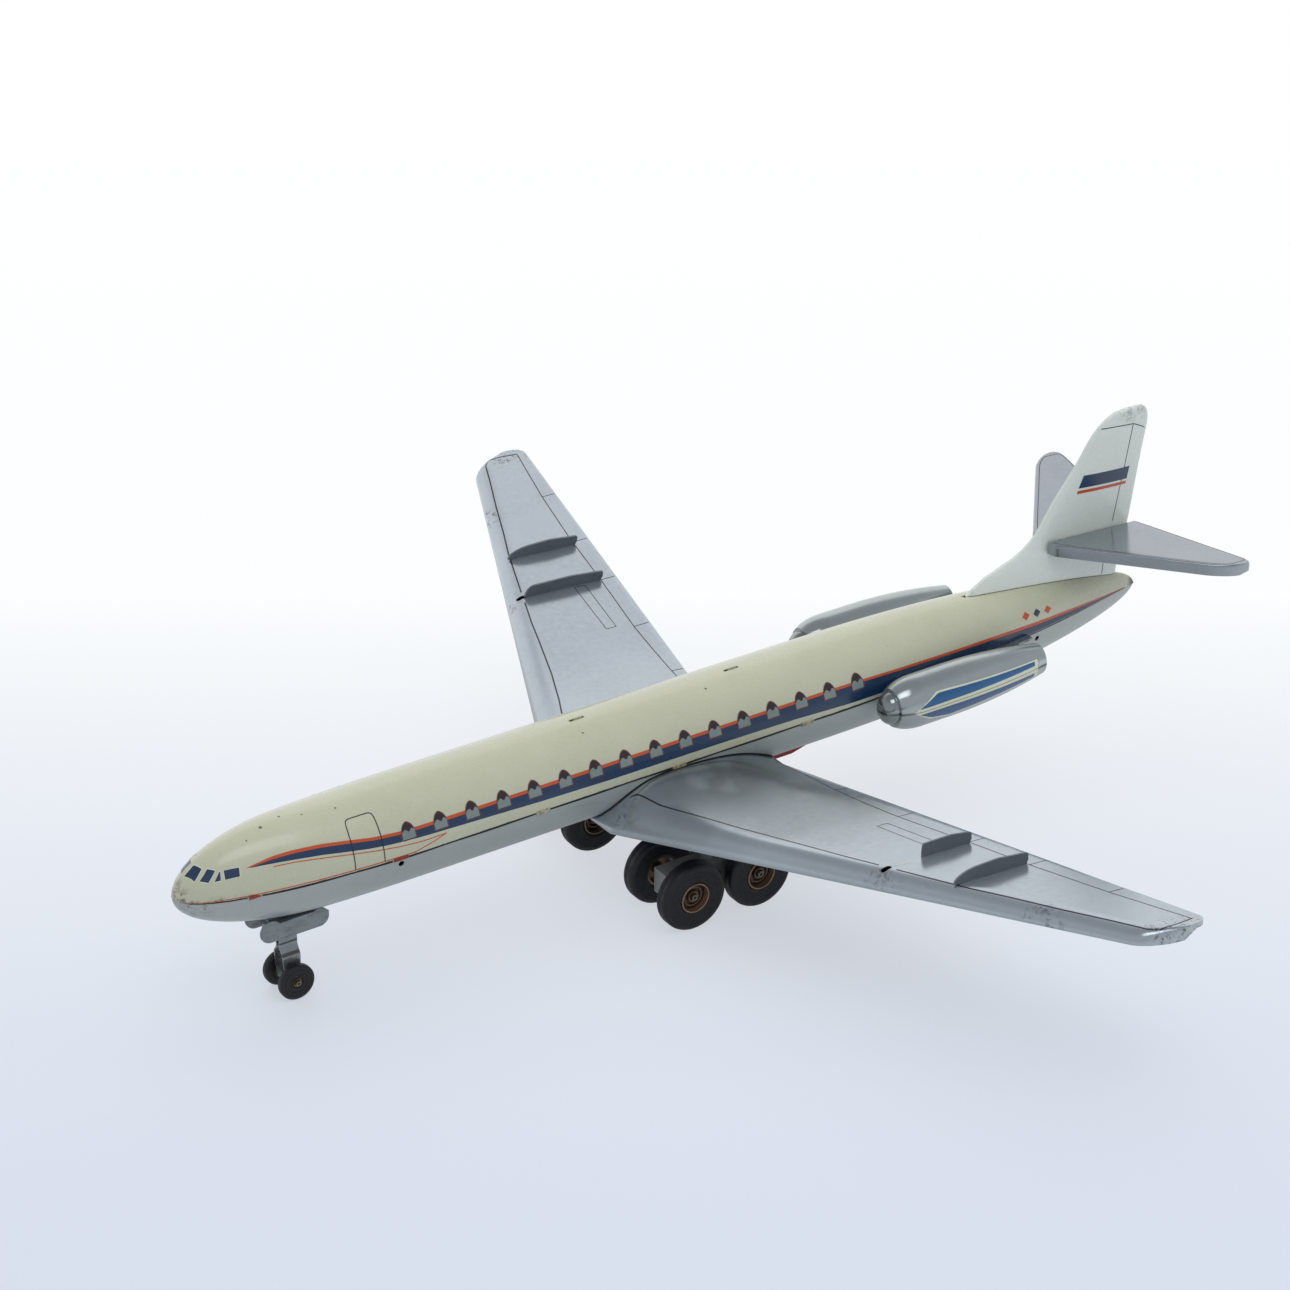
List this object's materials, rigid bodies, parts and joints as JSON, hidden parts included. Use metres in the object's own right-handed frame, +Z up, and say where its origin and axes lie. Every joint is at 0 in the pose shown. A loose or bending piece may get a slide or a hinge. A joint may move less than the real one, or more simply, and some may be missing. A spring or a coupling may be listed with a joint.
{
  "type": "toy airliner",
  "caption": "Pressed tin toy airliner with swept wings, rear-mounted engines, twin-wheel bogies, a steering nose gear and a friction drive with flywheel in the belly.",
  "frame": {"origin": "middle of the bounding box, on the floor plane under the wheels", "axes": "+X forward to the nose, +Y to the toy's left wing, +Z up"},
  "size_m": [0.509, 0.512, 0.1543],
  "materials": {
    "cream_paint": "glossy printed tin, yellowed cream",
    "silver_paint": "satin silver paint with worn edges",
    "white_paint": "glossy off-white printed tin",
    "dark_tin": "dull grey-blue tin",
    "steel": "plain drawn steel with light tarnish",
    "lacquered_tin": "tinplate under golden-brown lacquer",
    "tyre": "matt black moulded rubber",
    "rubber": "matt black rubber",
    "red_paint": "satin dark red paint",
    "brass": "stamped brass",
    "cast_iron": "rough casting"
  },
  "bodies": {
    "airframe": {"fuselage_top_shell": "cream_paint", "fuselage_bottom_shell": "silver_paint", "left_wing_top": "silver_paint", "left_wing_bottom": "silver_paint", "right_wing_top": "silver_paint", "right_wing_bottom": "silver_paint", "left_inner_fence": "dark_tin", "left_outer_fence": "dark_tin", "right_inner_fence": "dark_tin", "right_outer_fence": "dark_tin", "left_nacelle_top": "silver_paint", "left_nacelle_bottom": "silver_paint", "right_nacelle_top": "silver_paint", "right_nacelle_bottom": "silver_paint", "left_engine_pylon": "silver_paint", "right_engine_pylon": "silver_paint", "fin_left_half": "white_paint", "fin_right_half": "white_paint", "left_tailplane": "silver_paint", "right_tailplane": "silver_paint", "nose_gear_bracket": "dark_tin", "steering_rivet": "steel", "nose_ballast": "cast_iron", "left_bogie_frame": "silver_paint", "right_bogie_frame": "silver_paint", "drive_frame": "red_paint"},
    "nose_fork": {"nose_strut": "silver_paint"},
    "nose_wheels": {"nose_axle": "steel", "left_nose_wheel": "rubber", "right_nose_wheel": "rubber"},
    "left_front_wheels": {"left_front_axle": "steel", "left_front_outer_hub": "lacquered_tin", "left_front_outer_tyre": "tyre", "left_front_inner_hub": "lacquered_tin", "left_front_inner_tyre": "tyre"},
    "left_rear_wheels": {"left_rear_axle": "steel", "left_rear_outer_hub": "lacquered_tin", "left_rear_outer_tyre": "tyre", "left_rear_inner_hub": "lacquered_tin", "left_rear_inner_tyre": "tyre"},
    "right_front_wheels": {"right_front_axle": "steel", "right_front_outer_hub": "lacquered_tin", "right_front_outer_tyre": "tyre", "right_front_inner_hub": "lacquered_tin", "right_front_inner_tyre": "tyre"},
    "right_rear_wheels": {"right_rear_axle": "steel", "right_rear_outer_hub": "lacquered_tin", "right_rear_outer_tyre": "tyre", "right_rear_inner_hub": "lacquered_tin", "right_rear_inner_tyre": "tyre"},
    "drive_wheels": {"drive_axle": "steel", "drive_gear": "brass", "left_drive_wheel": "rubber", "right_drive_wheel": "rubber"},
    "idler": {"idler_arbor": "steel", "idler_gear": "brass", "idler_pinion": "steel"},
    "flywheel_group": {"flywheel_shaft": "steel", "flywheel": "steel"}
  },
  "joints": [
    {"name": "nose_steer", "type": "hinge", "parent": "airframe", "child": "nose_fork", "pos_m": [0.20607, 0, 0.03], "axis": [0, 0, 1], "range_deg": [-20, 20]},
    {"name": "nose_spin", "type": "hinge", "parent": "nose_fork", "child": "nose_wheels", "pos_m": [0.20457, 0, 0.0081], "axis": [0, 1, 0], "continuous": true},
    {"name": "left_front_spin", "type": "hinge", "parent": "airframe", "child": "left_front_wheels", "pos_m": [0.03767, 0.0384, 0.0158], "axis": [0, 1, 0], "continuous": true},
    {"name": "left_rear_spin", "type": "hinge", "parent": "airframe", "child": "left_rear_wheels", "pos_m": [0.00347, 0.0384, 0.0158], "axis": [0, 1, 0], "continuous": true},
    {"name": "right_front_spin", "type": "hinge", "parent": "airframe", "child": "right_front_wheels", "pos_m": [0.03767, -0.0384, 0.0158], "axis": [0, 1, 0], "continuous": true},
    {"name": "right_rear_spin", "type": "hinge", "parent": "airframe", "child": "right_rear_wheels", "pos_m": [0.00347, -0.0384, 0.0158], "axis": [0, 1, 0], "continuous": true},
    {"name": "flywheel_spin", "type": "hinge", "parent": "airframe", "child": "flywheel_group", "pos_m": [-0.01337, 0, 0.04697], "axis": [0, 1, 0], "continuous": true},
    {"name": "drive_spin", "type": "hinge", "parent": "airframe", "child": "drive_wheels", "pos_m": [-0.00343, 0, 0.0158], "axis": [0, 1, 0], "continuous": true},
    {"name": "idler_spin", "type": "hinge", "parent": "airframe", "child": "idler", "pos_m": [-0.00623, 0, 0.03166], "axis": [0, 1, 0], "continuous": true}
  ],
  "couplings": [
    {"joint": "drive_spin", "follows": "flywheel_spin", "ratio": 0.10417},
    {"joint": "idler_spin", "follows": "flywheel_spin", "ratio": -0.3125}
  ]
}
